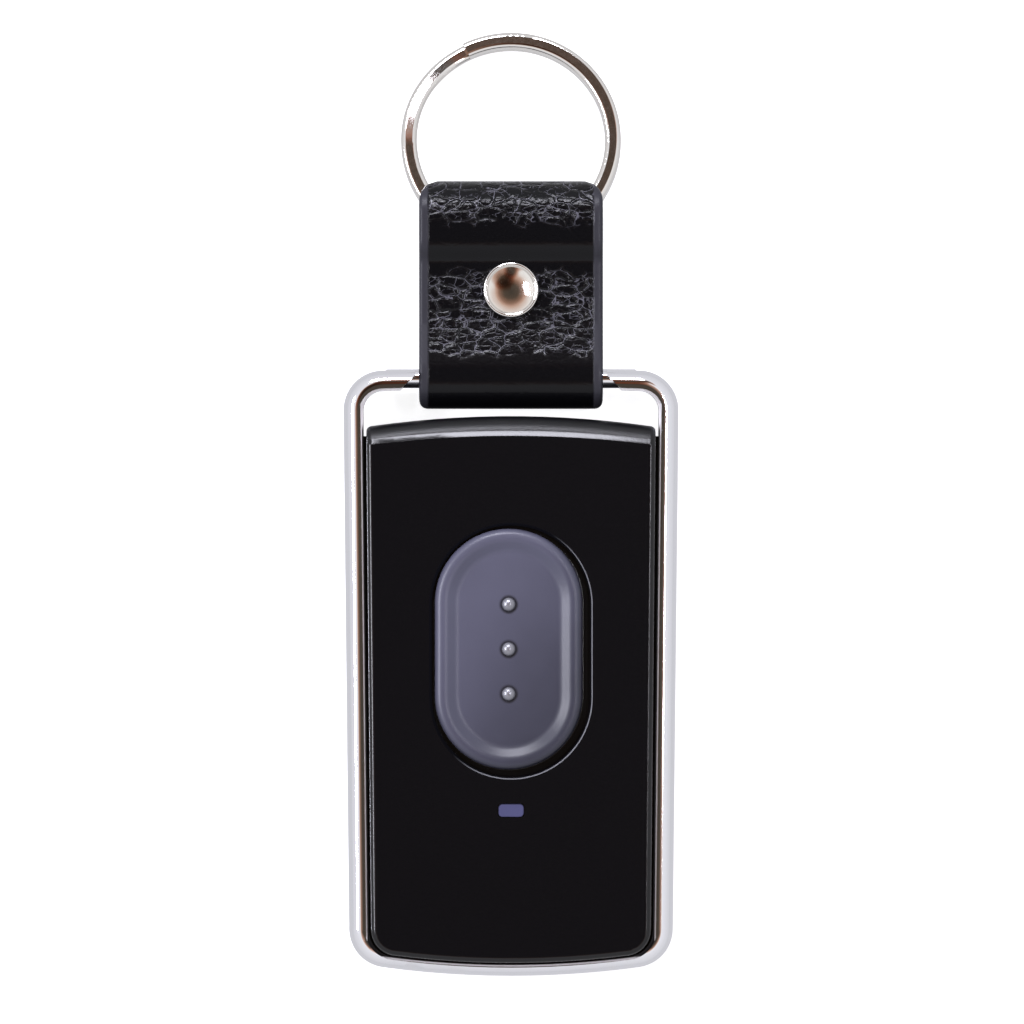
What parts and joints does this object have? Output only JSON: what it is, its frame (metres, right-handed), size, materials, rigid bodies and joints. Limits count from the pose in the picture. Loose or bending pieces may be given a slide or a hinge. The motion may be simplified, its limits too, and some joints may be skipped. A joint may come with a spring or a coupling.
{
  "type": "key fob transmitter",
  "caption": "One-button radio key fob: black shells in a bright metal frame, with a folded leather strap and a split ring.",
  "frame": {"origin": "centre of the body's flat back face", "axes": "+X to the right, +Y from the body towards the split ring, +Z out of the button side"},
  "size_m": [0.0364, 0.1028, 0.0124],
  "materials": {
    "chrome": "polished",
    "black_shell": "fine matte grain",
    "soft_button": "satin",
    "light_window": "smoked translucent",
    "black_leather": "pebbled, painted edges",
    "nickel": "polished nickel",
    "steel": "plain",
    "screw_black": "black",
    "board_green": "solder mask",
    "chip_black": "moulded",
    "ceramic": "plain",
    "copper": "enamelled wire",
    "lamp": "clear"
  },
  "bodies": {
    "root": {"frame_surround": "chrome", "front_shell": "black_shell", "rear_shell": "black_shell", "light_guide": "light_window", "circuit_board": "board_green", "switch_housing": "chip_black", "switch_cover": "steel", "led_chip": "lamp", "controller_chip": "chip_black", "resonator_can": "steel", "rf_transistor": "chip_black", "chip_capacitors": "ceramic", "chip_resistors": "chip_black", "coin_cell": "steel", "cell_contact": "steel", "cell_clip": "steel", "antenna_coil": "copper", "case_screws": "screw_black"},
    "button": {"button_cap": "soft_button", "switch_plunger": "ceramic"},
    "strap": {"leather_strap": "black_leather", "rivet_cap": "nickel", "rivet_post": "nickel"},
    "ring": {"split_ring": "nickel"}
  },
  "joints": [
    {"name": "button_press", "type": "slide", "parent": "root", "child": "button", "axis": [0, 0, -1], "range_m": [0, 0.0003], "stiffness_N_per_m": 150, "springref_m": -0.0004},
    {"name": "strap_swing", "type": "hinge", "parent": "root", "child": "strap", "pos_m": [0, 0.03375, 0.0058], "axis": [1, 0, 0], "range_deg": [-100, 100]},
    {"name": "ring_turn", "type": "hinge", "parent": "strap", "child": "ring", "pos_m": [0, 0.0597, 0.00358], "axis": [0, 0.1961, 0.9806], "continuous": true}
  ]
}
